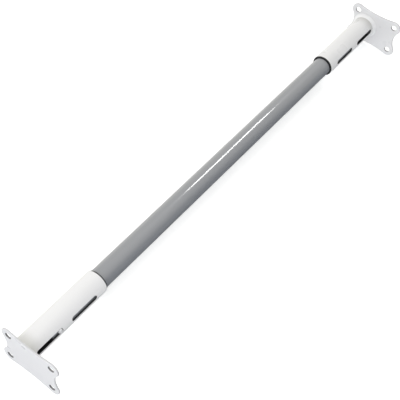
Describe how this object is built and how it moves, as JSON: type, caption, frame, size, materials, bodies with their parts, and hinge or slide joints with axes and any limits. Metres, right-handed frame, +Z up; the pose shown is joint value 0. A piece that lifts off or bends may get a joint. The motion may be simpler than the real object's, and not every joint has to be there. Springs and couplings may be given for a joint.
{
  "type": "pull up bar",
  "caption": "Telescopic doorway pull up bar: a grey grip tube that slides in white slotted sleeves, each welded to a four-eared wall plate.",
  "frame": {"origin": "midway between the two wall faces, under the middle of the plates, on the surface that the plates' long edges stand on", "axes": "+X along the bar towards the right wall plate, +Y along the plates' long side, +Z up"},
  "size_m": [0.9, 0.1, 0.075],
  "materials": {
    "grey_paint": "smooth satin grey paint",
    "white_powder_coat": "glossy white powder coat",
    "black_plastic": "moulded black plastic",
    "bright_zinc": "bright zinc plating",
    "spring_steel": "tempered spring strip"
  },
  "bodies": {
    "bar": {"grip_tube": "grey_paint", "left_end_plug": "black_plastic", "right_end_plug": "black_plastic", "left_clip_base": "spring_steel", "right_clip_base": "spring_steel"},
    "left_bracket": {"left_wall_plate": "white_powder_coat", "left_sleeve": "white_powder_coat", "left_weld": "white_powder_coat", "left_mouth_bush": "black_plastic"},
    "right_bracket": {"right_wall_plate": "white_powder_coat", "right_sleeve": "white_powder_coat", "right_weld": "white_powder_coat", "right_mouth_bush": "black_plastic"},
    "left_snap_button": {"left_button": "bright_zinc", "left_clip_arm": "spring_steel"},
    "right_snap_button": {"right_button": "bright_zinc", "right_clip_arm": "spring_steel"}
  },
  "joints": [
    {"name": "left_telescope", "type": "slide", "parent": "bar", "child": "left_bracket", "axis": [1, 0, 0], "range_m": [0, 0.037]},
    {"name": "right_telescope", "type": "slide", "parent": "bar", "child": "right_bracket", "axis": [1, 0, 0], "range_m": [-0.05, 0.057]},
    {"name": "left_button_press", "type": "slide", "parent": "bar", "child": "left_snap_button", "axis": [0, 0.9781, -0.2079], "range_m": [0, 0.004], "stiffness_N_per_m": 800},
    {"name": "right_button_press", "type": "slide", "parent": "bar", "child": "right_snap_button", "axis": [0, 0.9781, -0.2079], "range_m": [0, 0.0016], "stiffness_N_per_m": 800}
  ]
}
